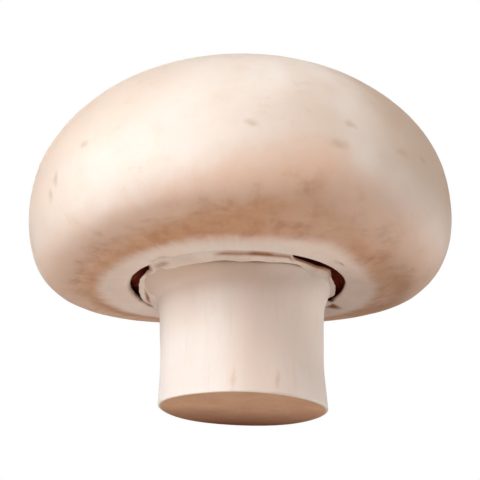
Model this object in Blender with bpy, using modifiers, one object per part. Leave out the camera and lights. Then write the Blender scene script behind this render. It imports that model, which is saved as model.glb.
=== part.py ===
"""A closed-cup button mushroom: cap, stem, gills and torn veil.

Metres, +Z up. The origin is the centre of the stem's cut face, on which the mushroom stands.
The cap, gills, veil and neck share one axis, which leans a little to -X, as a stem grows.
Heights in the profiles below are counted along that axis from the cap's widest circle.
"""
import math

import bmesh
import bpy
from mathutils import Matrix, Vector

OBJECT_NAME = "button_mushroom"
CUTTERS_NAME = "cutters"

MM = 0.001
LEAN = math.radians(1.8)          # lean of the growth axis towards -X
EQUATOR_HEIGHT = 22.3 * MM        # cap's widest circle above the cut face
GAP = 0.3 * MM                    # clearance kept between neighbouring pieces
MERGE = 0.00005
SPLIT = 0.00001                   # corners closer than this are one corner

# Cap, outside
CAP_RADIUS = 25.0 * MM
DOME_HEIGHT = 16.6 * MM           # above the widest circle
DOME_POWER = 2.2                  # 2 is an ellipse, more is fuller at the shoulder
MARGIN_RADIUS = 12.2 * MM         # mouth that the margin leaves around the stem
MARGIN_DROP = 8.5 * MM            # lip's lowest circle, below the widest circle
CORNER_PULL = 10.7 * MM           # how far the side runs down before it turns under
BELLY_RADIUS = 16.4 * MM          # pull of the underside towards the mouth
BELLY_DROP = 9.0 * MM
LIP_START = -95.0                 # degrees round the lip: from its underside
LIP_END = -240.0                  # to its inner face
CAP_STEPS = 60

# Cap, inside
MARGIN_THICKNESS = 1.1 * MM
CHAMBER_RADIUS = 20.4 * MM        # widest circle of the gill chamber
CHAMBER_WIDEST = -1.5 * MM        # height of that circle
CHAMBER_FLOOR = -7.2 * MM         # inner face of the margin beside the mouth
ROOF_HEIGHT = 4.0 * MM
ROOF_FLAT = 4.0 * MM              # width of the level ring of roof around the seat
SHOULDER_WIDTH = CHAMBER_RADIUS - ROOF_FLAT - 10.1 * MM
SEAT_RADIUS = 9.3 * MM            # seat for the stem's head
SEAT_DEPTH = 3.0 * MM             # above the roof
SEAT_EDGE = 0.4 * MM              # roof's drop at the seat's rim

# Stem
STEM_RADIUS = 9.35 * MM           # at its waist
FOOT_RADIUS = 9.6 * MM            # at the cut
COLLAR_RADIUS = 9.65 * MM         # where the shaft swells under the veil
NECK_RADIUS = 8.95 * MM
TRIM_ALLOWANCE = 1.2 * MM         # stem grown past the cut, removed by the trim
STEM_STEPS = 42

# Veil
VEIL_THICKNESS = 0.5 * MM
VEIL_HEIGHT = -8.4 * MM           # middle of the membrane
VEIL_INNER = COLLAR_RADIUS + 0.35 * MM
VEIL_TEARS = (                    # azimuth and half width in degrees, depth
    (3.0, 40.0, 0.95 * MM),
    (182.0, 38.0, 0.95 * MM),
    (78.0, 16.0, 0.45 * MM),
)
TEAR_POWER = 0.7                  # below 1 the tear is blunt at its middle
VEIL_POINTS = 90

# Gills
GILL_COUNT = 42
GILL_THICKNESS = 0.55 * MM
GILL_DRAFT = 0.1 * MM             # extra half-width of each plate at its root
GILL_INNER = 10.1 * MM
GILL_OUTER = 18.8 * MM
GILL_ROOT = 0.8 * MM              # thickness of the flesh that joins the plates
GILL_LEAST = 1.0 * MM             # least depth of a plate
GILL_DEPTH = 6.5 * MM
GILL_SWELL = (0.16, 0.72)         # start and length of the plate's belly, in half turns
GILL_BLUNT = 0.8                  # below 1 the belly is blunt
GILL_SECTIONS = 5


def clear_scene():
    for old in list(bpy.data.objects):
        bpy.data.objects.remove(old, do_unlink=True)


def make_collection(name):
    collection = bpy.data.collections.new(name)
    bpy.context.scene.collection.children.link(collection)
    return collection


def make_material(name, color, roughness):
    material = bpy.data.materials.new(name)
    material.use_nodes = True
    shader = material.node_tree.nodes["Principled BSDF"]
    shader.inputs["Base Color"].default_value = (*color, 1.0)
    shader.inputs["Roughness"].default_value = roughness
    shader.inputs["Metallic"].default_value = 0.0
    material.diffuse_color = (*color, 1.0)
    return material


def add_object(name, mesh, collection, material, parent):
    piece = bpy.data.objects.new(name, mesh)
    collection.objects.link(piece)
    piece.data.materials.append(material)
    piece.parent = parent
    return piece


def profile_mesh(name, points):
    """A line of edges in the XZ plane, for a Screw modifier to turn."""
    mesh = bpy.data.meshes.new(name)
    vertices = [(radius, 0.0, height) for radius, height in points]
    edges = [(i, i + 1) for i in range(len(points) - 1)]
    mesh.from_pydata(vertices, edges, [])
    return mesh


def turn(piece, steps):
    screw = piece.modifiers.new("turn", "SCREW")
    screw.axis = "Z"
    screw.angle = 2.0 * math.pi
    screw.steps = steps
    screw.render_steps = steps
    screw.use_merge_vertices = True
    screw.merge_threshold = MERGE
    screw.use_smooth_shade = True
    screw.use_normal_calculate = True


def arc(centre, radii, start, end, count, power=2.0):
    """Points on a superellipse, from angle start to end in degrees; 90 is up."""
    points = []
    for i in range(count):
        angle = math.radians(start + (end - start) * i / (count - 1))
        across = math.copysign(abs(math.cos(angle)) ** (2.0 / power), math.cos(angle))
        up = math.copysign(abs(math.sin(angle)) ** (2.0 / power), math.sin(angle))
        points.append((centre[0] + radii[0] * across, centre[1] + radii[1] * up))
    return points


def curve(start, pull_from, pull_to, end, count):
    """Points on a cubic curve between two ends, with a pull near each end."""
    points = []
    for i in range(count):
        t = i / (count - 1)
        weights = ((1 - t) ** 3, 3 * (1 - t) ** 2 * t, 3 * (1 - t) * t ** 2, t ** 3)
        corners = (start, pull_from, pull_to, end)
        points.append(tuple(sum(w * corner[k] for w, corner in zip(weights, corners)) for k in range(2)))
    return points


def cap_profile():
    """From the top of the dome, round the rolled margin and the gill chamber, to the middle of the seat."""
    dome = arc((0.0, 0.0), (CAP_RADIUS, DOME_HEIGHT), 90, 0, 13, DOME_POWER)
    dome[0] = (0.0, DOME_HEIGHT)
    lip_half = MARGIN_THICKNESS / 2.0
    lip_centre = (MARGIN_RADIUS + lip_half, lip_half - MARGIN_DROP)
    lip = arc(lip_centre, (lip_half, lip_half), LIP_START, LIP_END, 5)
    roll = curve(dome[-1], (CAP_RADIUS, -CORNER_PULL), (BELLY_RADIUS, -BELLY_DROP), lip[0], 11)[1:-1]
    floor_centre = (lip_centre[0], CHAMBER_WIDEST)
    floor_radii = (CHAMBER_RADIUS - lip_centre[0], CHAMBER_WIDEST - CHAMBER_FLOOR)
    floor = arc(floor_centre, floor_radii, -80, 0, 5)
    shoulder_centre = (CHAMBER_RADIUS - SHOULDER_WIDTH, CHAMBER_WIDEST)
    shoulder = arc(shoulder_centre, (SHOULDER_WIDTH, ROOF_HEIGHT - CHAMBER_WIDEST), 0, 90, 5)[1:]
    seat_top = ROOF_HEIGHT + SEAT_DEPTH
    seat = [
        (SEAT_RADIUS, ROOF_HEIGHT - SEAT_EDGE),
        (SEAT_RADIUS - 0.2 * MM, seat_top - 1.6 * MM),
        (SEAT_RADIUS - 2.0 * MM, seat_top - 0.3 * MM),
        (0.0, seat_top),
    ]
    return dome + roll + lip + floor + shoulder + seat


def stem_profile():
    """From the middle of the head down the outer side to the grown foot."""
    head_top = ROOF_HEIGHT + SEAT_DEPTH - GAP
    foot = -EQUATOR_HEIGHT - TRIM_ALLOWANCE
    return [
        (0.0, head_top),
        (SEAT_RADIUS - 2.4 * MM, head_top - 0.3 * MM),
        (NECK_RADIUS - 0.25 * MM, head_top - 1.7 * MM),
        (NECK_RADIUS, ROOF_HEIGHT - 0.6 * MM),
        (NECK_RADIUS, -4.0 * MM),
        (NECK_RADIUS + 0.2 * MM, -6.2 * MM),
        (COLLAR_RADIUS - 0.1 * MM, -7.6 * MM),
        (COLLAR_RADIUS, -8.8 * MM),
        (COLLAR_RADIUS - 0.1 * MM, -9.9 * MM),
        (STEM_RADIUS + 0.06 * MM, -11.6 * MM),
        (STEM_RADIUS, -14.0 * MM),
        (STEM_RADIUS, -17.5 * MM),
        (STEM_RADIUS + 0.1 * MM, -20.3 * MM),
        (FOOT_RADIUS, -EQUATOR_HEIGHT),
        (FOOT_RADIUS, foot),
        (0.0, foot),
    ]


def trim_foot(stem, cutters):
    """Slice the leaning stem level at Z = 0, so that it stands."""
    bpy.ops.mesh.primitive_cube_add(size=1.0)
    knife = bpy.context.active_object
    knife.name = "trim_knife"
    for owner in list(knife.users_collection):
        owner.objects.unlink(knife)
    cutters.objects.link(knife)
    width = 4.0 * FOOT_RADIUS
    depth = 6.0 * TRIM_ALLOWANCE
    knife.data.transform(Matrix.Diagonal((width, width, depth, 1.0)))
    knife.location = (0.0, 0.0, -depth / 2.0)
    knife.hide_render = True
    knife.display_type = "WIRE"
    cut = stem.modifiers.new("trim", "BOOLEAN")
    cut.operation = "DIFFERENCE"
    cut.object = knife


def torn_edge(angle):
    """Outer radius of the veil: tight against the margin, torn back at the two sides."""
    tear = 0.0
    for middle, half_width, depth in VEIL_TEARS:
        offset = (math.degrees(angle) - middle + 180.0) % 360.0 - 180.0
        if abs(offset) < half_width:
            tear = max(tear, depth * math.cos(math.pi / 2.0 * offset / half_width) ** TEAR_POWER)
    return MARGIN_RADIUS - GAP - tear


def veil_mesh(name):
    """A flat ring with a torn outline, extruded to the membrane's thickness."""
    outline = bpy.data.curves.new(name, "CURVE")
    outline.dimensions = "2D"
    outline.fill_mode = "BOTH"
    outline.extrude = VEIL_THICKNESS / 2.0
    angles = [2.0 * math.pi * i / VEIL_POINTS for i in range(VEIL_POINTS)]
    for radius_at in (torn_edge, lambda angle: VEIL_INNER):
        spline = outline.splines.new("POLY")
        spline.points.add(VEIL_POINTS - 1)
        for point, angle in zip(spline.points, angles):
            radius = radius_at(angle)
            point.co = (radius * math.cos(angle), radius * math.sin(angle), 0.0, 1.0)
        spline.use_cyclic_u = True
    holder = bpy.data.objects.new(name + "_outline", outline)
    bpy.context.scene.collection.objects.link(holder)
    bpy.context.view_layer.update()
    evaluated = holder.evaluated_get(bpy.context.evaluated_depsgraph_get())
    mesh = bpy.data.meshes.new_from_object(evaluated)
    bpy.data.objects.remove(holder, do_unlink=True)
    shape = bmesh.new()
    shape.from_mesh(mesh)
    bmesh.ops.remove_doubles(shape, verts=shape.verts, dist=SPLIT)
    bmesh.ops.recalc_face_normals(shape, faces=shape.faces)
    shape.to_mesh(mesh)
    shape.free()
    return mesh


def gill_roof(radius):
    """Height of the chamber's roof above the gills, two gaps clear of the cap."""
    out = max(0.0, radius - (CHAMBER_RADIUS - SHOULDER_WIDTH)) / SHOULDER_WIDTH
    rise = math.sqrt(max(0.0, 1.0 - out * out))
    return CHAMBER_WIDEST + (ROOF_HEIGHT - CHAMBER_WIDEST) * rise - 2.0 * GAP


def gill_section(deep):
    """One cross-section of the gill ring as (radius, height), the roof side first, then the edge."""
    top, bottom = [], []
    swell_start, swell_length = GILL_SWELL
    for i in range(GILL_SECTIONS):
        along = i / (GILL_SECTIONS - 1)
        radius = GILL_INNER + (GILL_OUTER - GILL_INNER) * along
        roof = gill_roof(radius)
        belly = GILL_DEPTH * math.sin(math.pi * (swell_start + swell_length * along)) ** GILL_BLUNT
        top.append((radius, roof))
        bottom.append((radius, roof - (max(GILL_LEAST, belly) if deep else GILL_ROOT)))
    return top + bottom[::-1]


def gill_mesh(name):
    """A ring of flesh with GILL_COUNT plates: the section is deep across a plate and shallow between."""
    shape = bmesh.new()
    half = GILL_THICKNESS / 2.0
    stations = []
    for gill in range(GILL_COUNT):
        angle = 2.0 * math.pi * gill / GILL_COUNT
        along = Vector((math.cos(angle), math.sin(angle), 0.0))
        across = Vector((-math.sin(angle), math.cos(angle), 0.0))
        for side, deep in ((-half - GILL_DRAFT, False), (-half, True), (half, True), (half + GILL_DRAFT, False)):
            loop = []
            for radius, height in gill_section(deep):
                place = along * radius + across * side
                loop.append(shape.verts.new((place.x, place.y, height)))
            stations.append(loop)
    count = len(stations)
    for i in range(count):
        here, there = stations[i], stations[(i + 1) % count]
        for j in range(len(here)):
            k = (j + 1) % len(here)
            shape.faces.new((here[j], here[k], there[k], there[j]))
    bmesh.ops.recalc_face_normals(shape, faces=shape.faces)
    mesh = bpy.data.meshes.new(name)
    shape.to_mesh(mesh)
    shape.free()
    return mesh


def main():
    clear_scene()
    parts = make_collection(OBJECT_NAME)
    cutters = make_collection(CUTTERS_NAME)

    growth_axis = bpy.data.objects.new("growth_axis", None)
    parts.objects.link(growth_axis)
    growth_axis.rotation_euler = (0.0, -LEAN, 0.0)
    growth_axis.location = (-EQUATOR_HEIGHT * math.sin(LEAN), 0.0, EQUATOR_HEIGHT * math.cos(LEAN))

    skin = make_material("cap_skin", (0.80, 0.63, 0.50), 0.55)
    flesh = make_material("stem_flesh", (0.84, 0.72, 0.60), 0.65)
    gill_brown = make_material("gill_brown", (0.09, 0.03, 0.015), 0.8)
    membrane = make_material("veil_membrane", (0.72, 0.56, 0.45), 0.7)

    cap = add_object("cap", profile_mesh("cap", cap_profile()), parts, skin, growth_axis)
    turn(cap, CAP_STEPS)

    stem = add_object("stem", profile_mesh("stem", stem_profile()), parts, flesh, growth_axis)
    turn(stem, STEM_STEPS)
    trim_foot(stem, cutters)

    gills = add_object("gills", gill_mesh("gills"), parts, gill_brown, growth_axis)
    gills.data.shade_flat()

    veil = add_object("veil", veil_mesh("veil"), parts, membrane, growth_axis)
    veil.location = (0.0, 0.0, VEIL_HEIGHT)


main()
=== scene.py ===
"""The looks of a closed-cup button mushroom: cap, stem, gills and torn veil, with its lights and camera."""
import math

import bpy
import numpy as np
from mathutils import Matrix, Vector, noise


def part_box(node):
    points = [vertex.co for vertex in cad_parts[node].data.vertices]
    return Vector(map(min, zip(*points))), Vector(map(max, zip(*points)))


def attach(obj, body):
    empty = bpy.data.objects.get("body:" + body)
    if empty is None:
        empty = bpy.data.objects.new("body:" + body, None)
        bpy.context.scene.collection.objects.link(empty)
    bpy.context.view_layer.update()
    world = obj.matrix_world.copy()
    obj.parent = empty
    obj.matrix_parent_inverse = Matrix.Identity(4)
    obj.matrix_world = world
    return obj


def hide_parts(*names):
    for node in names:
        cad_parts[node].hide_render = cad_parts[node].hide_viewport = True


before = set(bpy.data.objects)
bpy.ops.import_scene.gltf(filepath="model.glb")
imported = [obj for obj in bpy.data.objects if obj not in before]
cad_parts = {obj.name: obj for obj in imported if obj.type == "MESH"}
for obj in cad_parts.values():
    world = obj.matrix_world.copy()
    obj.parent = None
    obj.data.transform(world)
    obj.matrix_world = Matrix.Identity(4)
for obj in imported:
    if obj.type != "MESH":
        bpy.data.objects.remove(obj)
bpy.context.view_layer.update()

# ---------------------------------------------------------------- sizes, all from the frame's cap
cap_low, cap_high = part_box("cap")
U = (cap_high.x - cap_low.x) / 50.6           # one unit: a 25th of the cap's mean radius, just under 1 mm
LEAN = math.radians(1.8)                      # growth axis towards -X
EQUATOR = 22.55 * U                           # widest circle above the cut face
CAP_RADIUS = 25.0 * U
DOME_HEIGHT = 16.7 * U
DOME_POWER = 2.21                             # 2 is an ellipse, more is fuller at the shoulder
SHOULDER = 0.45 * U                           # how much fuller the +X shoulder is, and the -X one less full
MOUTH_RADIUS = 12.66 * U                      # lip's edge around the stem
MARGIN_DROP = 8.56 * U                        # the lip hangs this far under the widest circle
LIP_THICKNESS = 0.8 * U
LIP_HALF = LIP_THICKNESS / 2.0
CHAMBER_RADIUS = 20.6 * U
CHAMBER_WIDEST = -1.5 * U                     # height of the chamber's widest circle, from the cap's
CHAMBER_ROOF = 4.0 * U
SEAT_RADIUS = 9.4 * U                         # seat for the stem's head, above the roof
SEAT_DEPTH = 3.0 * U

# From the cap's own frame, whose origin is the middle of its widest circle, to the world.
GROWTH = Matrix.Translation((-EQUATOR * math.sin(LEAN) - 0.08 * U, 0.0, EQUATOR * math.cos(LEAN))) \
    @ Matrix.Rotation(-LEAN, 4, "Y")


# ---------------------------------------------------------------- small tools
def wobble(points, size, seed=0.0):
    """Smooth noise, about -1 to 1, at each point. size is the length of its waves."""
    shift = Vector((seed * 13.7, seed * -7.3, seed * 3.1))
    return np.array([noise.noise(Vector(p) / size + shift) for p in points])


def around(angle, waves, seed):
    """Smooth noise round a circle, about -1 to 1, with about so many waves a turn."""
    reach = waves / math.tau
    level = np.full_like(angle, seed * 5.3)
    spots = np.stack([np.cos(angle) * reach, np.sin(angle) * reach, level], axis=-1)
    return wobble(spots.reshape(-1, 3), 1.0).reshape(angle.shape)


def smooth(low, high, value):
    """0 below low, 1 above high, and a soft step between."""
    t = np.clip((value - low) / (high - low), 0.0, 1.0)
    return t * t * (3.0 - 2.0 * t)


def knots_at(angle, knots):
    """A value that follows (azimuth in degrees, value) knots round the axis."""
    azimuth, value = zip(*knots)
    return np.interp(np.degrees(angle), azimuth, value, period=360.0)


def length_along(points):
    """Distance from a line's first point to each of its points."""
    return np.concatenate([[0.0], np.cumsum(np.hypot(*np.diff(points, axis=0).T))])


def along_curve(points, count):
    """Points evenly spaced by length along a line of points."""
    points = np.array(points, float)
    length = length_along(points)
    at = np.linspace(0.0, length[-1], count)
    return np.stack([np.interp(at, length, points[:, k]) for k in range(2)], axis=1)


def evenly(points, count):
    """Shares of a fine line's own parameter that are evenly spaced by its length."""
    length = length_along(points)
    return np.interp(np.linspace(0.0, length[-1], count), length, np.linspace(0.0, 1.0, len(points)))


def curve_through(points, count, steps=12):
    """A smooth line through given (radius, height) points, evenly spaced by length."""
    knots = [Vector((x, y, 0.0)) for x, y in points]
    fine = []
    for i in range(len(knots) - 1):
        before, after = knots[max(i - 1, 0)], knots[min(i + 2, len(knots) - 1)]
        a, b = knots[i], knots[i + 1]
        for step in range(steps):
            t = step / steps
            spot = 0.5 * (2.0 * a + (b - before) * t + (2.0 * before - 5.0 * a + 4.0 * b - after) * t ** 2
                          + (3.0 * a - before - 3.0 * b + after) * t ** 3)
            fine.append((spot.x, spot.y))
    fine.append(tuple(knots[-1][:2]))
    return along_curve(fine, count)


def round_axis(radius, height, angle):
    """A grid of points from their radii, heights and azimuths."""
    return np.stack([radius * np.cos(angle), radius * np.sin(angle), height], axis=2)


def spot_at(azimuth, radius, height):
    """One point, from its azimuth in degrees."""
    turn = math.radians(azimuth)
    return Vector((radius * math.cos(turn), radius * math.sin(turn), height))


def each_column(values, columns):
    """A grid with one value a row, the same in every column."""
    return np.repeat(values[:, None], columns, axis=1)


def each_row(values, rows):
    """A grid with one value a column, the same in every row."""
    return np.repeat(values[None, :], rows, axis=0)


def normals_of(grid):
    """Unit normals of a grid of points, rows along the profile and columns round the axis."""
    down = np.gradient(grid, axis=0)
    round_ = (np.roll(grid, -1, axis=1) - np.roll(grid, 1, axis=1)) / 2.0
    normal = np.cross(down, round_)
    return normal / np.maximum(np.linalg.norm(normal, axis=2, keepdims=True), 1e-12)


def stand_out(grid, relief):
    """The grid moved along its normals, by a relief in units."""
    return grid + normals_of(grid) * (relief.reshape(grid.shape[:2]) * U)[:, :, None]


def turned(name, grid, top_point=False, end_point=False, loop=False):
    """A mesh from rows of points round an axis.

    Its first or last row can close on a point, or loop joins the last row to the first.
    """
    rows, columns = grid.shape[:2]
    points = [tuple(p) for p in grid.reshape(-1, 3)]
    faces = []
    for i in range(rows if loop else rows - 1):
        k = (i + 1) % rows
        for j in range(columns):
            n = (j + 1) % columns
            faces.append((i * columns + j, k * columns + j, k * columns + n, i * columns + n))
    for wanted, row, flip in ((top_point, 0, True), (end_point, rows - 1, False)):
        if wanted:
            points.append(tuple(grid[row].mean(axis=0)))
            for j in range(columns):
                n = (j + 1) % columns
                edge = (row * columns + j, row * columns + n)
                edge = edge if flip else edge[::-1]
                faces.append((*edge, len(points) - 1))
    mesh = bpy.data.meshes.new(name)
    mesh.from_pydata(points, [], faces)
    mesh.shade_smooth()
    return mesh


def write_values(mesh, name, values, kind="FLOAT"):
    """A value or vector at every point, for a material to read."""
    made = mesh.attributes.new(name, kind, "POINT")
    made.data.foreach_set("value" if kind == "FLOAT" else "vector", values.astype(np.float32).ravel())


def place(name, mesh, matrix, node):
    """An object from a mesh in world coordinates, in place of a node of the CAD model."""
    mesh.transform(matrix)
    piece = bpy.data.objects.new(name, mesh)
    bpy.context.scene.collection.objects.link(piece)
    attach(piece, "root")
    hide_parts(node)


# ---------------------------------------------------------------- materials
class Nodes:
    """Adds nodes to a material, with their inputs given as values or as other nodes' outputs."""

    def __init__(self, name):
        self.material = bpy.data.materials.new(name)
        self.material.use_nodes = True
        self.tree = self.material.node_tree
        self.shader = self.tree.nodes["Principled BSDF"]

    def add(self, kind, inputs=(), out=0, **settings):
        node = self.tree.nodes.new("ShaderNode" + kind)
        for key, value in settings.items():
            setattr(node, key, value)
        for key, value in dict(inputs).items():
            self.put(node.inputs[key], value)
        return node.outputs[out]

    def put(self, socket, value):
        if isinstance(value, bpy.types.NodeSocket):
            self.tree.links.new(value, socket)
        else:
            socket.default_value = value

    def set(self, **inputs):
        for key, value in inputs.items():
            self.put(self.shader.inputs[key.replace("_", " ")], value)

    def math(self, operation, a, b, clamp=False):
        return self.add("Math", {0: a, 1: b}, operation=operation, use_clamp=clamp)

    def plus(self, a, b):
        return self.math("ADD", a, b)

    def times(self, a, b):
        return self.math("MULTIPLY", a, b)

    def shifted(self, value, grain, amount):
        """A value moved up and down by a noise, whose middle is 0.5."""
        return self.plus(value, self.times(self.math("SUBTRACT", grain, 0.5), amount))

    def vector(self, operation, a, b):
        return self.add("VectorMath", {0: a, 1: b}, operation=operation)

    def stretch(self, vector, scale):
        return self.vector("MULTIPLY", vector, scale)

    def length(self, vector):
        return self.add("VectorMath", {0: vector}, out="Value", operation="LENGTH")

    def axis(self, vector, letter):
        return self.add("SeparateXYZ", {0: vector}, out=letter)

    def attribute(self, name, out="Fac"):
        return self.add("Attribute", out=out, attribute_name=name)

    def place(self):
        return self.add("TexCoord", out="Object")

    def noise(self, vector, scale, detail=3.0, rough=0.5, out=0):
        inputs = {"Vector": vector, "Scale": scale, "Detail": detail, "Roughness": rough}
        return self.add("TexNoise", inputs, out=out, noise_dimensions="3D")

    def span(self, value, low, high, to_low=0.0, to_high=1.0, soft=True):
        """to_low where the value is low, to_high where it is high, and between the two in between."""
        inputs = {"Value": value, "From Min": low, "From Max": high, "To Min": to_low, "To Max": to_high}
        return self.add("MapRange", inputs, interpolation_type="SMOOTHSTEP" if soft else "LINEAR")

    def mix(self, amount, a, b):
        """Colour a, turning to colour b as the amount goes from 0 to 1."""
        node = self.tree.nodes.new("ShaderNodeMix")
        node.data_type = "RGBA"
        for key, value in ((0, amount), (6, a), (7, b)):
            self.put(node.inputs[key], value)
        return node.outputs[2]

    def bump(self, height, strength, distance):
        return self.add("Bump", {"Height": height, "Strength": strength, "Distance": distance})


def rgb(red, green, blue):
    """A linear colour from its 0-255 display values."""
    def linear(value):
        value /= 255.0
        return value / 12.92 if value <= 0.04045 else ((value + 0.055) / 1.055) ** 2.4
    return (linear(red), linear(green), linear(blue), 1.0)


def marks_in(n, where, marks, blur=0.0012):
    """1 inside small marks, such as stains and the painted shade of the rips, whose outlines noise moves by
    up to half of blur, in metres.

    Each mark is (place, half-sizes along X, Y and Z).
    """
    jitter = n.vector("SUBTRACT", n.noise(where, 700.0, out="Color"), (0.5, 0.5, 0.5))
    where = n.vector("ADD", where, n.stretch(jitter, (blur, blur, blur)))
    total = None
    for spot, size in marks:
        off = n.vector("SUBTRACT", where, spot)
        far = n.length(n.stretch(off, tuple(1.0 / half for half in size)))
        near = n.span(far, 1.6, 0.0)
        total = near if total is None else n.math("MAXIMUM", total, near)
    return total


# Brown painted shade of the slits where the veil rips.
def with_rip_shade(n, where, colour):
    return n.mix(marks_in(n, where, RIP_SHADES, RIP_BLUR), colour, RIP_SHADE_COLOUR)


def flesh_shader(n, colour, scatter, scatter_size, roughness, normal):
    n.set(Base_Color=colour, Roughness=roughness, Normal=normal, Specular_IOR_Level=0.35)
    n.set(Subsurface_Weight=scatter, Subsurface_Radius=(1.0, 0.55, 0.35), Subsurface_Scale=scatter_size)
    return n.material


# In the materials, places are in metres and the scale of a noise is about its waves a metre.
# A belt is 0 at the top of the dome, 1 at the cap's widest circle and 2 at the lip.
def cap_cream_and_shade(n, tan_at, to_right, broad, patches):
    """The dome's cream, darkened by painted shade at the upper left, at the far left limb and round the
    crown, and on the right partly by its own browner tone and partly by painted shade.
    """
    cream = n.mix(n.span(broad, 0.35, 0.65), rgb(244, 232, 222), rgb(236, 220, 207))
    cream = n.mix(n.span(patches, 0.5, 0.8, 0.0, 0.25), cream, rgb(224, 193, 169))
    # Painted shade on the right side, away from the key lamp, partly also the cap's own browner tone there.
    right = n.times(n.span(to_right, 0.001, 0.016), n.span(tan_at, 1.3, 0.95, 0.5, 0.92))
    cream = n.mix(right, cream, rgb(211, 182, 159))
    # Painted shade on the upper left of the dome.
    upper_left_shade = n.times(n.span(to_right, 0.0, -0.012), n.span(tan_at, 0.95, 0.68))
    cream = n.mix(n.times(upper_left_shade, 0.7), cream, rgb(226, 203, 184))
    # Painted shade on the far left limb.
    cream = n.mix(n.span(to_right, -0.015, -0.025, 0.0, 0.6), cream, rgb(222, 194, 173))
    # Painted shade round the crown.
    crown_shade = n.times(n.span(tan_at, 0.92, 0.62), n.span(to_right, -0.006, 0.004, 0.0, 0.4))
    return n.mix(crown_shade, cream, rgb(224, 199, 179))


def cap_band(n, cream, tan_at, across, to_right, grains):
    """Cream that turns to tan towards the margin, blotch by blotch. The tan is lighter on the right."""
    broad, blotches, fibres = grains
    moved = n.shifted(n.shifted(n.shifted(tan_at, broad, 0.12), blotches, 0.20), fibres, 0.02)
    tan = n.mix(n.span(blotches, 0.3, 0.7), rgb(213, 161, 123), rgb(205, 150, 113))
    rusty = n.times(n.span(to_right, 0.010, 0.015), n.span(tan_at, 1.60, 1.72))
    faded = n.times(n.span(to_right, 0.001, 0.009, 0.0, 0.7), n.span(rusty, 0.0, 1.0, 1.0, 0.35))
    tan = n.mix(faded, tan, rgb(222, 180, 153))
    light_tan = n.mix(n.span(across, 0.0195, 0.0240, 0.0, 0.8), rgb(232, 194, 169), rgb(200, 162, 138))
    half_tan = n.mix(n.span(moved, 1.09, 1.44), cream, light_tan)
    return n.mix(n.span(moved, 1.41, 1.69), half_tan, tan)


def cap_ring(n, colour, pale_at, frays, blotches):
    """The pale ring beside the lip, with a frayed edge."""
    edge = n.shifted(n.shifted(pale_at, frays, 0.06), blotches, 0.10)
    pale = n.mix(n.span(blotches, 0.3, 0.7), rgb(246, 221, 204), rgb(241, 213, 195))
    return n.mix(n.span(edge, -0.06, 0.07), colour, pale)


def cap_tufts(n, colour, streak, tan_at, pale_at, blotches):
    """Brown tufts just outside the ring, and smudges over the whole tan band."""
    tufts = n.span(n.noise(n.stretch(streak, (9.0, 9.0, 6.0)), 1.0, 3.0, 0.6), 0.47, 0.68)
    near_ring = n.times(n.span(pale_at, -0.30, -0.10), n.span(pale_at, 0.04, -0.03))
    colour = n.mix(n.times(n.times(tufts, near_ring), 0.5), colour, rgb(188, 128, 96))
    smudges = n.times(n.span(blotches, 0.48, 0.78), n.span(tan_at, 1.3, 1.55))
    smudges = n.times(smudges, n.span(pale_at, 0.0, -0.06, 0.0, 0.45))
    return n.mix(smudges, colour, rgb(190, 136, 104))


def cap_specks(n, colour, where, tan_at):
    """Faint flecks on the dome, the stains of the margin's nicks, and the larger specks."""
    flecks = n.span(n.noise(n.stretch(where, (1.0, 1.0, 1.6)), 620.0, 3.0, 0.55), 0.54, 0.70)
    flecks = n.times(flecks, n.span(n.noise(where, 120.0, 2.0), 0.42, 0.62))
    colour = n.mix(n.times(flecks, n.span(tan_at, 1.5, 1.2, 0.0, 0.17)), colour, rgb(206, 170, 140))
    colour = n.mix(n.attribute("stain"), colour, rgb(176, 138, 108))
    return n.mix(n.times(marks_in(n, where, SPECKS), 0.42), colour, rgb(190, 156, 122))


def cap_skin():
    """Cream dome with painted shade on its sides and crown, tan band, pale ring, and brown painted inside as
    shade.

    The mesh carries "tan" and "pale", the belts moved to suit where each colour starts round the cap, and
    "streak", the direction from the axis with the belt as its third value.
    """
    n = Nodes("cap_skin")
    where, streak = n.place(), n.attribute("streak", "Vector")
    tan_at, pale_at = n.attribute("tan"), n.attribute("pale")
    broad = n.noise(where, 70.0)
    patches = n.noise(where, 260.0, 4.0, 0.6)
    blotches = n.noise(where, 420.0, 3.0, 0.6)
    fine = n.noise(where, 2600.0, 3.0, 0.6)
    fibres = n.noise(n.stretch(streak, (60.0, 60.0, 5.0)), 1.0, 4.0, 0.6)
    frays = n.noise(n.stretch(streak, (24.0, 24.0, 2.0)), 1.0, 3.0, 0.55)

    # to_right is X, moved by noise and fading to 0 at the back, where the sides have no colours of their own.
    across = n.axis(where, "X")
    to_right = n.plus(across, n.span(broad, 0.35, 0.65, -0.003, 0.003))
    to_right = n.times(to_right, n.span(n.axis(where, "Y"), 0.012, -0.006))

    colour = cap_cream_and_shade(n, tan_at, to_right, broad, patches)
    colour = cap_band(n, colour, tan_at, across, to_right, (broad, blotches, fibres))
    colour = cap_ring(n, colour, pale_at, frays, blotches)
    colour = cap_tufts(n, colour, streak, tan_at, pale_at, blotches)
    colour = cap_specks(n, colour, where, tan_at)
    # Brown painted on the lip's inner face and through the gill chamber, as the shade seen in the gaps.
    colour = n.mix(n.span(n.axis(streak, "Z"), 2.03, 2.08), colour, rgb(164, 84, 46))
    colour = with_rip_shade(n, where, colour)

    height = n.plus(n.times(fibres, 0.12), n.times(fine, 0.65))
    roughness = n.span(patches, 0.3, 0.7, 0.46, 0.58)
    return flesh_shader(n, colour, 0.25, 0.0012, roughness, n.bump(height, 0.2, 0.0001))


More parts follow.
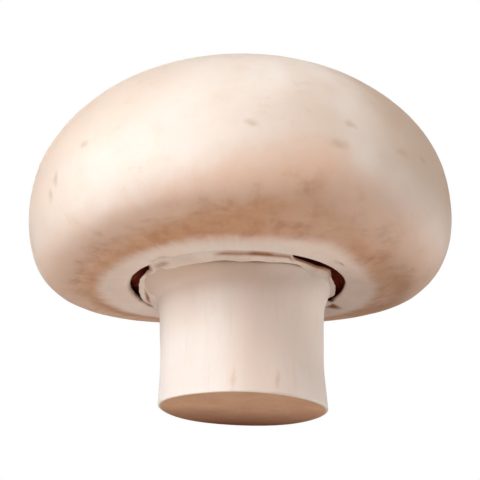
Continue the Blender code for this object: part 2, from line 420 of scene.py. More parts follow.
def stem_skin():
    """Fibres up the shaft, painted light whiter low on the left and along the right edge, painted shade under
    the veil, and brown painted on the neck inside the cap as shade.
    """
    n = Nodes("stem_skin")
    where = n.place()
    across, up = n.axis(where, "X"), n.axis(where, "Z")
    along = n.stretch(where, (1.0, 1.0, 0.12))
    broad = n.noise(along, 110.0)
    fibres = n.noise(along, 1400.0, 4.0, 0.6)
    colour = n.mix(n.span(broad, 0.3, 0.7), rgb(237, 221, 210), rgb(229, 207, 192))
    # Painted light: the lower left of the shaft whiter, where the key lamp falls.
    lit_left = n.times(n.span(across, 0.001, -0.005), n.span(up, 0.0125, 0.004))
    colour = n.mix(n.times(lit_left, 0.6), colour, rgb(240, 234, 229))
    # Painted rim light: the right edge of the shaft whiter.
    colour = n.mix(n.span(across, 0.0045, 0.009, 0.0, 0.6), colour, rgb(250, 236, 224))
    colour = n.mix(n.span(fibres, 0.5, 0.85, 0.0, 0.22), colour, rgb(212, 182, 158))
    # Painted shade at the top of the shaft under the veil, darker on the left.
    top_shade = n.times(n.span(up, 0.0100, 0.0138), n.span(across, 0.006, -0.003, 0.35, 0.85))
    colour = n.mix(top_shade, colour, rgb(206, 168, 142))
    colour = n.mix(n.times(marks_in(n, where, STEM_STREAKS), 0.42), colour, rgb(206, 162, 122))
    colour = with_rip_shade(n, where, colour)
    # Brown painted on the neck inside the cap, as the shade seen through the slits.
    colour = n.mix(n.span(up, 0.0144, 0.0150), colour, rgb(150, 70, 38))
    return flesh_shader(n, colour, 0.3, 0.0015, 0.6, n.bump(fibres, 0.4, 0.0001))


def cut_flesh():
    """The trimmed face: tan, browner towards the back, with a pale rim that is partly the skin's edge and
    partly a painted highlight.
    """
    n = Nodes("cut_flesh")
    where = n.place()
    broad = n.noise(where, 220.0, 4.0, 0.6)
    fine = n.noise(where, 1500.0, 4.0, 0.65)
    colour = n.mix(n.span(broad, 0.3, 0.7), rgb(224, 171, 133), rgb(212, 157, 121))
    colour = n.mix(n.span(fine, 0.5, 0.8, 0.0, 0.4), colour, rgb(186, 132, 98))
    back = n.span(n.axis(where, "Y"), -0.0016, 0.0086, 0.0, 0.97, soft=False)
    colour = n.mix(back, colour, rgb(116, 52, 24))
    # The pale rim: the skin's edge, with a painted highlight of the rounded edge.
    colour = n.mix(n.attribute("rim"), colour, rgb(240, 222, 206))
    return flesh_shader(n, colour, 0.15, 0.001, 0.7, n.bump(fine, 0.5, 0.00012))


def veil_skin():
    """A pale membrane of fine fibres, with brown painted shade along its seam under the lip and along its
    torn edge beside the gaps.
    """
    n = Nodes("veil_skin")
    where, streak = n.place(), n.attribute("streak", "Vector")
    broad = n.noise(where, 300.0, 4.0, 0.6)
    fibres = n.noise(n.stretch(streak, (70.0, 70.0, 6.0)), 1.0, 4.0, 0.6)
    colour = n.mix(n.span(broad, 0.3, 0.7), rgb(238, 212, 195), rgb(226, 197, 179))
    colour = n.mix(n.span(fibres, 0.5, 0.8, 0.0, 0.3), colour, rgb(205, 166, 140))
    # Brown painted shade along the seam under the lip and along the torn edge beside the gaps.
    gap_shade = n.math("MULTIPLY", n.attribute("gap_shade"), 1.25, clamp=True)
    colour = n.mix(gap_shade, colour, rgb(158, 106, 72))
    colour = with_rip_shade(n, where, colour)
    return flesh_shader(n, colour, 0.3, 0.0008, 0.65, n.bump(fibres, 0.4, 0.00015))


def gill_skin():
    n = Nodes("gill_skin")
    where = n.place()
    broad = n.noise(where, 300.0, 4.0, 0.6)
    fine = n.noise(where, 2500.0, 3.0, 0.6)
    colour = n.mix(n.span(broad, 0.3, 0.7), rgb(214, 92, 50), rgb(176, 68, 38))
    colour = n.mix(n.span(fine, 0.4, 0.7, 0.0, 0.35), colour, rgb(124, 44, 24))
    return flesh_shader(n, colour, 0.0, 0.001, 0.8, n.bump(fine, 0.4, 0.0001))


# ---------------------------------------------------------------- the cap
CAP_COLUMNS = 320
DOME_ROWS = 62
ROLL_ROWS = 66
LIP_ROWS = 9
CHAMBER_ROWS = 36
SEAT_ROWS = 12
DOME_FINE = 400                  # points of the fine lines that the rows are spaced along
ROLL_FINE = 200
LIP_END_BELT = 2.09
INSIDE_BELT = 2.2

# Small nicks in the pale margin: azimuth and arc in degrees, then in units how far outside the mouth they
# are, their width and their depth.
NICKS = (
    (24.0, 2.0, 0.20, 1.00, 0.20),
    (-130.0, 5.0, 0.05, 0.20, 0.25),
    (-41.0, 3.5, 1.05, 0.14, 0.20),
    (96.0, 8.0, 0.60, 0.20, 0.20),
)

# Azimuth, and how many belts the tan is moved towards the lip.
TAN_DELAY = (
    (-170.0, 0.15), (-150.0, 0.17), (-130.0, 0.16), (-115.0, 0.13), (-102.0, 0.02), (-88.0, -0.06),
    (-72.0, -0.19), (-57.0, -0.02), (-42.0, 0.05), (-26.0, 0.06), (-5.0, -0.04), (40.0, 0.03), (150.0, 0.10),
)

# Azimuth, and the belt where the pale ring starts.
PALE_START = (
    (-175.0, 1.82), (-150.0, 1.845), (-110.0, 1.905), (-85.0, 1.915), (-72.0, 1.87), (-57.0, 1.81),
    (-40.0, 1.835), (-26.0, 1.835), (-8.0, 1.82), (60.0, 1.82), (150.0, 1.81),
)


def superellipse(width, height, start, end, count, power):
    angle = np.radians(np.linspace(start, end, count))
    across = np.abs(np.cos(angle)) ** (2.0 / power) * np.sign(np.cos(angle))
    up = np.abs(np.sin(angle)) ** (2.0 / power) * np.sign(np.sin(angle))
    return np.stack([width * across, height * up], axis=1)


def mouth_radius(angle):
    """The margin's own edge: a ragged circle, wider from side to side and a little nearer the front left."""
    right, back = np.cos(angle), np.sin(angle)
    lopsided = (0.30 * right ** 2 - 0.30 * right - 0.70 * back) * U
    return MOUTH_RADIUS + lopsided + (0.07 * around(angle, 34.0, 1.0) + 0.03 * around(angle, 110.0, 2.0)) * U


def underside(angle, along):
    """Radius and height of the rolled-in underside: along is 0 at the widest circle and 1 at the lip.

    It is a cubic curve, whose corner and belly differ a little from side to side and from front to back.
    """
    right, back = np.cos(angle), np.maximum(np.sin(angle), 0.0) ** 2
    front = np.maximum(-np.sin(angle), 0.0) ** 2
    corner = (10.8 - 0.6 * right - 2.0 * back) * U
    lip_radius = mouth_radius(angle)
    belly_radius = (16.4 - 0.3 * right - 0.4 * back + 0.6 * front) * U + (lip_radius - MOUTH_RADIUS)
    belly_height = (-9.1 - 0.5 * right + 2.7 * back + 3.3 * front) * U
    t = along
    one, two, three, four = (1 - t) ** 3, 3 * (1 - t) ** 2 * t, 3 * (1 - t) * t ** 2, t ** 3
    radius = (one + two) * CAP_RADIUS + three * belly_radius + four * lip_radius
    height = -two * corner + three * belly_height - four * MARGIN_DROP
    return radius, height


def cap_inside():
    """Radius and height round the lip, through the gill chamber and to the middle of the seat."""
    lip = superellipse(LIP_HALF, LIP_HALF, -80.0, -250.0, LIP_ROWS, 2.0)[1:]
    lip = lip + (MOUTH_RADIUS, LIP_HALF - MARGIN_DROP)
    chamber = curve_through([
        tuple(lip[-1]),
        (15.5 * U, -6.95 * U),
        (18.3 * U, -5.7 * U),
        (20.2 * U, -3.6 * U),
        (CHAMBER_RADIUS, CHAMBER_WIDEST),
        (19.6 * U, 1.6 * U),
        (17.0 * U, 3.5 * U),
        (14.0 * U, CHAMBER_ROOF),
        (11.0 * U, CHAMBER_ROOF - 0.2 * U),
        (SEAT_RADIUS + 0.25 * U, CHAMBER_ROOF - 0.35 * U),
    ], CHAMBER_ROWS)[1:]
    seat = curve_through([
        (SEAT_RADIUS, CHAMBER_ROOF),
        (SEAT_RADIUS - 0.15 * U, CHAMBER_ROOF + 1.4 * U),
        (SEAT_RADIUS - 0.9 * U, CHAMBER_ROOF + 2.5 * U),
        (SEAT_RADIUS - 2.6 * U, CHAMBER_ROOF + SEAT_DEPTH - 0.15 * U),
        (1.0 * U, CHAMBER_ROOF + SEAT_DEPTH),
    ], SEAT_ROWS)
    return lip, chamber, seat


def cap_surface(angle):
    """Radius and height of each row and column of the cap, and each row's belt.

    belt is 0 at the top of the dome, 1 at the widest circle, 2 at the lip and more inside the gill chamber.
    """
    columns = len(angle)
    dome = superellipse(CAP_RADIUS, DOME_HEIGHT, 90.0, 0.0, DOME_FINE, DOME_POWER)
    dome = along_curve(dome, DOME_ROWS + 1)[1:]
    dome_radius, dome_height = (each_column(dome[:, k], columns) for k in (0, 1))
    shoulder = SHOULDER * np.cos(angle) * (dome_radius / CAP_RADIUS) * (dome_height / DOME_HEIGHT)

    side = underside(np.zeros(ROLL_FINE), np.linspace(0.0, 1.0, ROLL_FINE))
    along = evenly(np.stack(side, axis=1), ROLL_ROWS + 1)[1:]
    roll_radius, roll_height = underside(angle[None, :], along[:, None])

    # The mouth's raggedness fades out on the way through the chamber, so that the seat is round.
    lip, chamber, seat = cap_inside()
    within = np.concatenate([lip, chamber, seat])
    fade = np.linspace(1.0, 0.0, len(chamber)) ** 3
    ragged = np.concatenate([np.ones(len(lip)), fade, np.zeros(len(seat))])
    within_radius = within[:, :1] + ragged[:, None] * (mouth_radius(angle) - MOUTH_RADIUS)
    within_height = each_column(within[:, 1], columns)

    radius = np.concatenate([dome_radius + shoulder, roll_radius, within_radius])
    height = np.concatenate([dome_height, roll_height, within_height])
    lobes = 1.0 + 0.010 * np.cos(2.0 * angle) + 0.003 * np.cos(3.0 * angle) + 0.010 * np.sin(3.0 * angle)
    spread = smooth(0.45 * CAP_RADIUS, 0.9 * CAP_RADIUS, radius)
    radius = radius * (1.0 + (lobes - 1.0) * spread)
    belt = np.concatenate([
        np.arange(1, DOME_ROWS + 1) / DOME_ROWS,
        1.0 + np.arange(1, ROLL_ROWS + 1) / ROLL_ROWS,
        np.linspace(2.0, LIP_END_BELT, len(lip)),
        np.full(len(chamber) + len(seat), INSIDE_BELT),
    ])
    return radius, height, belt


def nicks_in(angle, radius, belts):
    """Depth of the margin's nicks in units, and 0 to 1 for their stain."""
    depths, stain = np.zeros_like(belts), np.zeros_like(belts)
    for azimuth, arc, out, width, depth in NICKS:
        off = (np.degrees(angle) - azimuth + 180.0) % 360.0 - 180.0
        beyond = (radius - mouth_radius(angle)) / U - out - 0.08 * np.sin(off * 0.9)
        shape = np.exp(-(beyond / width) ** 2) * np.exp(-(off / arc) ** 4) * ((belts > 1.5) & (belts < 2.01))
        depths += depth * shape
        stain = np.maximum(stain, 0.75 * shape)
    return depths, stain


def build_cap():
    angle = np.linspace(0.0, math.tau, CAP_COLUMNS, endpoint=False)
    radius, height, belt = cap_surface(angle)
    belts, ray = each_column(belt, CAP_COLUMNS), each_row(angle, len(belt))
    grid = round_axis(radius, height, angle)

    flat = grid.reshape(-1, 3)
    relief = 0.07 * wobble(flat, 9.0 * U, 1.0) + 0.035 * wobble(flat, 3.5 * U, 2.0)
    relief = (relief + 0.014 * wobble(flat, 1.1 * U, 3.0)).reshape(belts.shape)
    relief += around(ray, 46.0, 4.0) * 0.006 * smooth(1.25, 1.9, belts)
    # A shallow groove, where the veil once pulled on the margin, and the pale ring swelling inside it.
    relief += 0.12 * np.exp(-((belts - 1.87) / 0.07) ** 2) - 0.28 * np.exp(-((belts - 1.70) / 0.075) ** 2)
    depths, stain = nicks_in(angle, radius, belts)
    grid = stand_out(grid, np.where(belts < INSIDE_BELT, relief - depths, 0.0))

    # Each list of values ends with those of the points that close the top of the dome and the seat.
    mesh = turned("cap_flesh", grid, top_point=True, end_point=True)
    for name, knots in (("tan", TAN_DELAY), ("pale", PALE_START)):
        values = (belts - knots_at(ray, knots)).ravel()
        write_values(mesh, name, np.concatenate([values, [0.0, INSIDE_BELT]]))
    streak = round_axis(1.0, belts, ray).reshape(-1, 3)
    ends = [(0.0, 0.0, 0.0), (0.0, 0.0, INSIDE_BELT)]
    write_values(mesh, "streak", np.concatenate([streak, ends]), "FLOAT_VECTOR")
    write_values(mesh, "stain", np.concatenate([stain.ravel(), [0.0, 0.0]]))
    mesh.materials.append(cap_skin())
    place("cap_flesh", mesh, GROWTH, "cap")


def on_cap(azimuth, belt):
    """The spot on the cap at an azimuth and a belt."""
    radius, height, belts = cap_surface(np.array([math.radians(azimuth)]))
    row = int(np.argmin(np.abs(belts - belt)))
    return GROWTH @ spot_at(azimuth, radius[row, 0], height[row, 0])


# Tan specks: azimuth, belt, then half length round the cap and half height in units.
SPECKS = [
    (on_cap(azimuth, belt), (1.3 * length * U, 1.3 * length * U, 1.8 * height * U))
    for azimuth, belt, length, height in (
        (-88.0, 1.01, 0.55, 0.20), (-68.0, 1.07, 0.80, 0.28), (-65.0, 0.97, 0.50, 0.24),
        (-49.0, 1.00, 0.70, 0.24), (-40.0, 0.98, 0.60, 0.22), (-144.0, 1.15, 0.35, 0.45),
        (-141.0, 1.07, 0.35, 0.40), (-130.0, 0.99, 0.45, 0.25), (-133.0, 1.54, 0.45, 0.30),
        (-47.0, 1.55, 0.50, 0.30), (20.0, 1.05, 0.60, 0.25), (75.0, 0.9, 0.50, 0.30),
        (140.0, 1.1, 0.60, 0.30), (110.0, 1.2, 0.45, 0.25),
    )
]

# Brown painted shade in the narrow slits and the small hole where the veil has started to rip: azimuth, then
# in units how far they are from the cap's axis and their half widths along X and Y.
RIP_SHADE_COLOUR = rgb(150, 84, 46)
RIP_BLUR = 0.0004
RIP_HEIGHT = -8.8
RIP_HALF_HEIGHT = 1.8
RIP_SHADES = [
    (GROWTH @ (spot_at(azimuth, out, RIP_HEIGHT) * U), (wide * U, deep * U, RIP_HALF_HEIGHT * U))
    for azimuth, out, wide, deep in (
        (170.5, 12.5, 0.26, 0.7), (164.5, 12.4, 0.36, 0.6), (160.0, 12.2, 0.36, 0.6),
        (156.5, 12.1, 0.48, 0.9), (175.0, 11.05, 0.25, 2.6),
        (13.0, 11.15, 0.42, 0.6), (16.0, 11.7, 0.35, 0.3), (26.0, 12.9, 0.95, 0.50),
    )
]


# ---------------------------------------------------------------- the stem
STEM_COLUMNS = 288
SHAFT_ROWS = 170
EDGE_ROWS = 6
CUT_ROWS = 46
FOOT_SHIFT = 0.08 * U            # the foot has grown out to +X
RIM = 0.15 * U                   # rounded edge of the cut
CUT_MIDDLE = 0.3 * U             # last circle of the cut face
COLLAR_HEIGHT = 13.8             # where the shaft meets the veil, in units, on the axis
COLLAR_REACH = 12.0              # distance from the axis at which the cap's lean is taken into that height
COLLAR_WIDTH = 0.8
DISH = 0.10 * U                  # hollow of the cut face
CUT_GRAIN = 0.03 * U

# Shaft from the cut upwards, then the neck and the head: (radius, height) in units.
SHAFT = (
    (9.39, 0.0), (9.35, 1.0), (9.30, 2.2), (9.24, 4.2), (9.27, 6.0), (9.36, 7.6), (9.47, 9.6), (9.58, 11.0),
    (9.74, 12.0), (9.98, 12.7), (10.32, 13.3), (10.55, 13.75), (10.5, 14.0), (10.1, 14.3), (9.5, 15.0),
    (9.1, 16.4), (9.05, 18.5), (9.05, 22.0), (9.0, 25.5), (8.85, 27.2), (8.2, 28.4), (6.8, 29.0),
    (3.5, 29.15), (0.6, 29.2),
)

# Azimuth, and how much more the shaft spreads where it meets the veil, in units.
COLLAR = (
    (-180.0, 0.5), (-165.0, 1.1), (-150.0, 1.7), (-136.0, 2.0), (-124.0, 1.15), (-112.0, 0.5), (-98.0, 0.15),
    (-88.0, 0.0), (-78.0, 0.1), (-62.0, 0.85), (-46.0, 0.95), (-30.0, 0.5), (-10.0, -0.1), (8.0, -0.5),
    (35.0, -0.4), (90.0, 0.1), (160.0, 0.3),
)

# Brown streaks near the cut: place and half-sizes.
STEM_STREAKS = [
    ((-0.95 * U, -9.4 * U, 0.9 * U), (0.36 * U, 0.9 * U, 1.4 * U)),
    ((3.55 * U, -8.8 * U, 1.4 * U), (0.34 * U, 0.9 * U, 1.1 * U)),
    ((-7.6 * U, 5.6 * U, 1.4 * U), (0.36 * U, 0.36 * U, 1.2 * U)),
    ((8.6 * U, 3.6 * U, 1.8 * U), (0.4 * U, 0.3 * U, 1.4 * U)),
]


def stem_side(angle):
    """Radius and height of the rows from the head down to the foot, spread into a collar under the veil."""
    shaft = curve_through([(r * U, h * U) for r, h in SHAFT], SHAFT_ROWS)[::-1]
    radius, height = (each_column(shaft[:, k], len(angle)) for k in (0, 1))
    collar_height = COLLAR_HEIGHT + COLLAR_REACH * math.sin(LEAN) * np.cos(angle)
    near_collar = np.exp(-((height / U - collar_height) / COLLAR_WIDTH) ** 2)
    return radius + knots_at(angle, COLLAR) * U * near_collar, height


def stem_cut(foot):
    """Radius and height of the rows of the cut: its rounded edge, then the face as far as its middle."""
    turn = np.linspace(0.0, 0.5 * math.pi, EDGE_ROWS)[1:]
    face = np.linspace(foot - RIM, CUT_MIDDLE, CUT_ROWS)[1:]
    radius = np.concatenate([foot - RIM * (1.0 - np.cos(turn)), face])
    height = np.concatenate([RIM * (1.0 - np.sin(turn)), np.zeros(len(face))])
    return radius, height


def grown_radius(radius, up, angle, foot):
    """The rows' radius with the shaft's facets and the foot's two bulges. up is height over EQUATOR."""
    facets = 0.010 * np.cos(5.0 * (angle - math.radians(-84.0))) + 0.006 * np.cos(3.0 * angle + 0.9)
    facets = facets + 0.004 * around(each_row(angle, len(radius)), 9.0, 6.0)
    share = smooth(0.75, 0.3, up) * (radius / foot)
    radius = radius * (1.0 + facets * np.where(up < 0.75, share, 0.0))
    back, front = (np.maximum(np.cos(angle - math.radians(azimuth)), 0.0) ** 2 for azimuth in (72.0, -78.0))
    toes = (0.50 * back + 0.62 * front) * U
    return radius + toes * (1.0 - smooth(0.0, 0.25, up)) * (radius / foot)


def build_stem():
    angle = np.linspace(0.0, math.tau, STEM_COLUMNS, endpoint=False)
    radius, height = stem_side(angle)
    side_rows = len(radius)
    foot = SHAFT[0][0] * U
    cut, low = stem_cut(foot)
    height = height + np.clip(1.0 - height / (3.0 * RIM), 0.0, 1.0) * RIM
    radius = np.concatenate([radius, each_column(cut, STEM_COLUMNS)])
    height = np.concatenate([height, each_column(low, STEM_COLUMNS)])
    up = height / EQUATOR
    grid = round_axis(grown_radius(radius, up, angle, foot), height, angle)
    grid[:, :, 0] += -height * math.tan(LEAN) + FOOT_SHIFT * (1.0 - smooth(0.0, 0.42, up))

    flat = grid.reshape(-1, 3)
    relief = 0.05 * wobble(flat * (1.0, 1.0, 0.25), 2.6 * U, 5.0)
    relief = (relief + 0.02 * wobble(flat * (1.0, 1.0, 0.08), 0.7 * U, 6.0)).reshape(height.shape)
    relief[side_rows:] = 0.0
    grid = stand_out(grid, relief)
    dished = DISH * smooth(0.0, 1.0, 1.0 - cut / foot)[:, None]
    rough = CUT_GRAIN * np.abs(wobble(grid[side_rows:].reshape(-1, 3), 0.9 * U, 7.0)).reshape(len(cut), -1)
    grid[side_rows:, :, 2] += np.where((cut < foot - RIM)[:, None], dished + rough, 0.0)

    mesh = turned("stem_shaft", grid, top_point=True, end_point=True)
    rim = np.zeros(height.shape)
    rim[side_rows:] = smooth(foot - 1.4 * RIM, foot - 0.8 * RIM, cut)[:, None]
    write_values(mesh, "rim", np.concatenate([rim.ravel(), [0.0, 0.0]]))
    mesh.materials.append(stem_skin())
    mesh.materials.append(cut_flesh())
    first_cut = (side_rows + 2) * STEM_COLUMNS
    for face in mesh.polygons:
        if min(face.vertices) >= first_cut:
            face.material_index = 1
    place("stem_shaft", mesh, Matrix.Identity(4), "stem")


# ---------------------------------------------------------------- the veil
VEIL_COLUMNS = 420
VEIL_STEPS = 19                  # rows across the membrane, on each of its faces
VEIL_THICKNESS = 0.26 * U
STUCK_RADIUS = 9.5               # where the veil runs down on to the stem, in units
SEAM_AT = 0.70                   # share of the way out where the painted shade of the seam lies
SHADE_WIDTH = 0.14

# Azimuth, and the width in units of the gap between the lip and the veil, which is fixed to the lip below 0.
FIXED = -0.45
TEAR = (
    (-180.0, 0.95), (-172.0, 1.08), (-165.0, 1.0), (-154.0, 0.8), (-146.0, 0.55), (-141.5, 0.35),
    (-138.0, FIXED), (-67.0, FIXED), (-64.0, 0.2), (-57.0, 0.42), (-49.0, 0.58), (-43.0, 0.25), (-38.0, 0.15),
    (-32.0, 0.75), (-25.0, 1.15), (-17.0, 1.25), (-6.0, 1.1), (4.0, 0.85), (9.0, 1.3), (12.5, 1.6),
    (16.0, 1.4), (18.0, FIXED), (78.0, FIXED), (84.0, 0.3), (100.0, 0.35), (106.0, FIXED), (152.0, FIXED),
    (157.0, 0.4), (165.0, 0.6), (173.0, 0.8),
)

# Azimuth, and 1 where the veil still runs down on to the stem or 0 where its hem is free.
MERGE = (
    (-180.0, 1.0), (-152.0, 1.0), (-122.0, 0.0), (-60.0, 0.0), (-24.0, 1.0), (16.0, 1.0), (36.0, 0.0),
    (140.0, 0.0), (158.0, 1.0),
)

# Azimuth, and the radius of the free hem in units.
HEM = (
    (-180.0, 11.2), (-132.0, 11.3), (-119.0, 11.1), (-110.0, 10.95), (-99.0, 11.3), (-91.0, 10.6),
    (-82.0, 10.95), (-74.0, 10.9), (-66.0, 11.4), (-59.0, 11.65), (-48.0, 11.35), (-35.0, 11.1), (45.0, 10.8),
    (90.0, 10.9), (135.0, 10.8),
)

# Azimuth, and how much brown shade is painted on the veil beside the lip, in the thin gap under it; it also
# lifts the seam a little.
SEAM_SHADE = (
    (-140.0, 0.0), (-135.0, 0.45), (-130.0, 0.5), (-126.0, 0.0), (-104.0, 0.0), (-99.0, 0.7), (-88.0, 0.6),
    (-84.0, 1.0), (-77.0, 1.0), (-74.0, 0.65), (-66.0, 0.7), (-62.0, 0.0),
)

# Azimuth, and how much brown shade is painted on the veil's torn edge beside the gaps.
EDGE_SHADE = (
    (-152.0, 0.0), (-147.0, 0.6), (-140.0, 0.8), (-136.0, 0.0), (-66.0, 0.0), (-61.0, 1.0), (-46.0, 1.0),
    (-40.0, 0.8), (-30.0, 0.5), (-26.0, 0.0),
)


def veil_surface(angle, out):
    """Radius and height of the membrane's middle. out is 0 at the hem and 1 at the lip."""
    ragged = 0.07 * around(angle, 60.0, 8.0) + 0.05 * around(angle, 150.0, 9.0)
    torn = knots_at(angle, TEAR)
    free = smooth(-0.2, 0.2, torn)
    outer = mouth_radius(angle) - LIP_HALF - (torn - ragged * free) * U
    merge = smooth(0.0, 1.0, knots_at(angle, MERGE))
    hem = knots_at(angle, HEM) + 0.10 * around(angle, 26.0, 10.0) + 0.06 * around(angle, 90.0, 11.0)
    hem = (hem + (STUCK_RADIUS - hem) * merge) * U
    hem_height = (-8.80 - 1.40 * merge + 0.04 * around(angle, 18.0, 14.0)) * U
    seam_height = (-8.43 - 0.22 * free + 0.10 * knots_at(angle, SEAM_SHADE)) * U
    radius = hem + (outer - hem) * out
    fall = (1.0 - out) ** (1.0 + 1.1 * merge)
    sag = 0.06 * U * np.sin(math.pi * out) * (1.0 - merge)
    return radius, seam_height + (hem_height - seam_height) * fall - sag


def build_veil():
    """A thin ragged ring: fixed to the margin at the front and back, and torn off it at the two sides."""
    angle = np.linspace(0.0, math.tau, VEIL_COLUMNS, endpoint=False)
    out = np.linspace(0.0, 1.0, VEIL_STEPS)
    radius, height = veil_surface(angle, out[:, None])
    half = VEIL_THICKNESS / 2.0 * np.sqrt(np.maximum(1.0 - (2.0 * out - 1.0) ** 6, 0.0)) + 0.01 * U
    under = round_axis(radius, height - half[:, None], angle)
    over = round_axis(radius, height + half[:, None], angle)
    grid = np.concatenate([under, over[::-1]])
    flat = grid.reshape(-1, 3)
    relief = 0.02 * wobble(flat, 0.7 * U, 12.0) + 0.04 * wobble(flat, 2.2 * U, 13.0)
    grid[:, :, 2] += relief.reshape(grid.shape[:2]) * U

    # The rows run backwards, so that the faces look outwards.
    mesh = turned("veil_membrane", grid[::-1], loop=True)
    ray = each_row(angle, len(grid))
    share = each_column(np.concatenate([out, out[::-1]]), VEIL_COLUMNS)
    write_values(mesh, "streak", round_axis(1.0, share * 0.2, ray)[::-1].reshape(-1, 3), "FLOAT_VECTOR")
    gap_shade = np.exp(-((share - SEAM_AT) / SHADE_WIDTH) ** 2) * knots_at(ray, SEAM_SHADE)
    gap_shade = np.maximum(gap_shade, np.exp(-((share - 1.0) / SHADE_WIDTH) ** 2) * knots_at(ray, EDGE_SHADE))
    write_values(mesh, "gap_shade", gap_shade[::-1].ravel())
    mesh.materials.append(veil_skin())
    place("veil_membrane", mesh, GROWTH, "veil")


# ---------------------------------------------------------------- the gills
GILL_COUNT = 264                 # every other one is short
GILL_STEPS = 16
GILL_HALF = 0.085 * U            # half a plate's thickness, at its root
GILL_LONG_START = 10.0           # distances from the axis, in units
GILL_SHORT_STARTS = (13.5, 16.0)
GILL_END = 20.0

# Distance from the axis and height, in units, of the plates' roots and of their free edges.
GILL_ROOF = ((9.0, 3.75), (14.0, 3.85), (17.0, 3.3), (19.0, 2.0), (20.2, 0.2))
GILL_EDGE = ((10.0, -5.2), (11.2, -6.8), (13.0, -7.2), (15.0, -6.5), (18.0, -4.6), (20.2, -1.4))


def plate(turn, start, depth, sway):
    """Points of one plate, four at each step: its root and its free edge, on both sides."""
    points = []
    for step in range(GILL_STEPS):
        t = step / (GILL_STEPS - 1)
        radius = start + (GILL_END - start) * t
        roof, edge = (np.interp(radius, *zip(*line)) for line in (GILL_ROOF, GILL_EDGE))
        edge = roof - (roof - edge) * depth * min(1.0, 0.35 + 3.0 * t)
        bend = turn + sway * math.sin(3.0 * t)
        middle = Vector((radius * math.cos(bend), radius * math.sin(bend), 0.0)) * U
        across = Vector((-math.sin(bend), math.cos(bend), 0.0))
        sides = ((-GILL_HALF, roof), (-GILL_HALF * 0.5, edge), (GILL_HALF * 0.5, edge), (GILL_HALF, roof))
        for side, height in sides:
            spot = middle + across * side
            points.append((spot.x, spot.y, height * U))
    return points


def plate_faces(base):
    faces = []
    for here in range(base, base + 4 * (GILL_STEPS - 1), 4):
        for k in range(4):
            m = (k + 1) % 4
            faces.append((here + k, here + 4 + k, here + 4 + m, here + m))
    last = base + 4 * (GILL_STEPS - 1)
    return faces + [(base, base + 1, base + 2, base + 3), (last + 3, last + 2, last + 1, last)]


def build_gills():
    """Thin plates hanging from the chamber's roof, with a shorter one between each long pair."""
    points, faces = [], []
    random = np.random.default_rng(7)
    for gill in range(GILL_COUNT):
        long_gill = gill % 2 == 0
        turn = math.tau * (gill + random.uniform(-0.12, 0.12)) / GILL_COUNT
        start = GILL_LONG_START if long_gill else random.choice(GILL_SHORT_STARTS)
        start += random.uniform(0.0, 0.5)
        depth = (1.0 if long_gill else 0.75) + random.uniform(-0.04, 0.03)
        sway = random.uniform(-0.02, 0.02)
        faces += plate_faces(len(points))
        points += plate(turn, start, depth, sway)
    mesh = bpy.data.meshes.new("gill_plates")
    mesh.from_pydata(points, [], faces)
    mesh.materials.append(gill_skin())
    place("gill_plates", mesh, GROWTH, "gills")


# ---------------------------------------------------------------- stage, lights and camera
FLOOR_HALF = 1.2                 # metres
FLOOR_GAP = 0.02 * U             # floor below the cut face
FLOOR_FADE = (0.08, 0.34)        # distances over which the floor turns white, in metres
WHITE = (1.0, 1.0, 1.0, 1.0)


def build_floor():
    """A pale floor that shows from above only, so that a camera below it still sees the underside."""
    corners = [(x * FLOOR_HALF, y * FLOOR_HALF, 0.0) for x, y in ((-1, -1), (1, -1), (1, 1), (-1, 1))]
    mesh = bpy.data.meshes.new("floor")
    mesh.from_pydata(corners, [], [(0, 1, 2, 3)])
    floor = bpy.data.objects.new("floor", mesh)
    bpy.context.scene.collection.objects.link(floor)
    floor.location.z = -FLOOR_GAP
    n = Nodes("floor_paper")
    where = n.place()
    grain = n.noise(where, 900.0)
    n.set(Base_Color=n.mix(n.span(grain, 0.3, 0.7), rgb(244, 243, 241), rgb(238, 237, 235)), Roughness=0.8)
    white = n.add("Emission", {"Color": WHITE, "Strength": 1.0})
    paper = n.add("MixShader", {0: n.span(n.length(where), *FLOOR_FADE), 1: n.shader.outputs[0], 2: white})
    below = n.add("NewGeometry", out="Backfacing")
    both = n.add("MixShader", {0: below, 1: paper, 2: n.add("BsdfTransparent")})
    n.put(n.tree.nodes["Material Output"].inputs["Surface"], both)
    mesh.materials.append(n.material)
    for ray in ("visible_diffuse", "visible_glossy", "visible_transmission", "visible_shadow"):
        setattr(floor, ray, False)


WORLD_LIGHT = 0.12


def build_world():
    """A white background, and a much weaker white light from all round."""
    world = bpy.data.worlds.new("studio")
    bpy.context.scene.world = world
    world.use_nodes = True
    tree = world.node_tree
    tree.nodes.clear()
    path = tree.nodes.new("ShaderNodeLightPath")
    mix = tree.nodes.new("ShaderNodeMixShader")
    out = tree.nodes.new("ShaderNodeOutputWorld")
    tree.links.new(path.outputs["Is Camera Ray"], mix.inputs[0])
    for socket, strength in ((1, WORLD_LIGHT), (2, 1.0)):
        shade = tree.nodes.new("ShaderNodeBackground")
        shade.inputs["Color"].default_value = WHITE
        shade.inputs["Strength"].default_value = strength
        tree.links.new(shade.outputs[0], mix.inputs[socket])
    tree.links.new(mix.outputs[0], out.inputs[0])


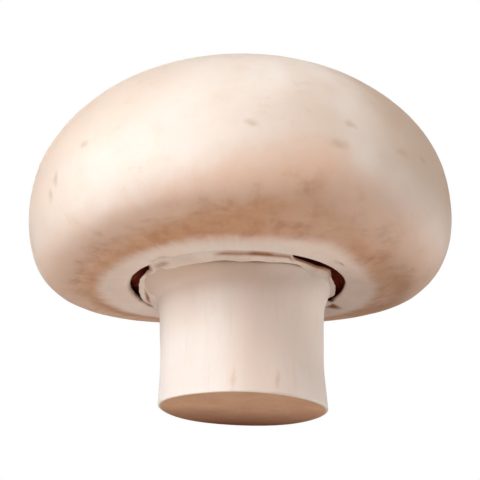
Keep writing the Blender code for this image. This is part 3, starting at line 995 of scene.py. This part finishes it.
# Soft round lamps: name, azimuth and elevation seen from the mushroom, power in watts.
LAMPS = (
    ("key", 230.0, 20.0, 1.5),
    ("top", 270.0, 50.0, 0.6),
    ("front", 290.0, 5.0, 0.15),
    ("right", 350.0, 5.0, 0.6),
    ("under", 270.0, -60.0, 0.5),
    ("under_left", 190.0, -40.0, 0.8),
    ("right_rim", 30.0, -10.0, 0.6),
    ("back", 105.0, 30.0, 0.65),
)
LAMP_DISTANCE = 0.45
LAMP_SIZE = 0.24


def build_lights():
    middle = Vector((0.0, 0.0, EQUATOR))
    for name, azimuth, elevation, power in LAMPS:
        rise = math.radians(elevation)
        data = bpy.data.lights.new(name, "AREA")
        data.shape = "DISK"
        data.size = LAMP_SIZE
        data.energy = power
        lamp = bpy.data.objects.new(name, data)
        bpy.context.scene.collection.objects.link(lamp)
        lamp.location = middle + spot_at(azimuth, math.cos(rise), math.sin(rise)) * LAMP_DISTANCE
        lamp.rotation_euler = (middle - lamp.location).to_track_quat("-Z", "Y").to_euler()


SENSOR_WIDTH = 36.0              # millimetres, as LENS is
LENS = 61.8
CAMERA_DISTANCE = 100.0 * U
CAMERA_BELOW = math.radians(22.5)
CAMERA_ROLL = math.radians(1.8)
AIM_BELOW_EQUATOR = 1.93 * U


def build_camera():
    data = bpy.data.cameras.new("camera")
    data.sensor_width = SENSOR_WIDTH
    data.lens = LENS
    data.clip_start = 0.005
    camera = bpy.data.objects.new("camera", data)
    bpy.context.scene.collection.objects.link(camera)
    aim = GROWTH @ Vector((0.0, 0.0, -AIM_BELOW_EQUATOR))
    back = Vector((0.0, -math.cos(CAMERA_BELOW), -math.sin(CAMERA_BELOW)))
    camera.rotation_mode = "QUATERNION"
    camera.location = aim + back * CAMERA_DISTANCE
    level = (-back).to_track_quat("-Z", "Y")
    camera.rotation_quaternion = level @ Matrix.Rotation(CAMERA_ROLL, 3, "Z").to_quaternion()
    bpy.context.scene.camera = camera


build_cap()
build_stem()
build_veil()
build_gills()
build_floor()
build_world()
build_lights()
build_camera()
bpy.context.scene.view_settings.view_transform = "Standard"
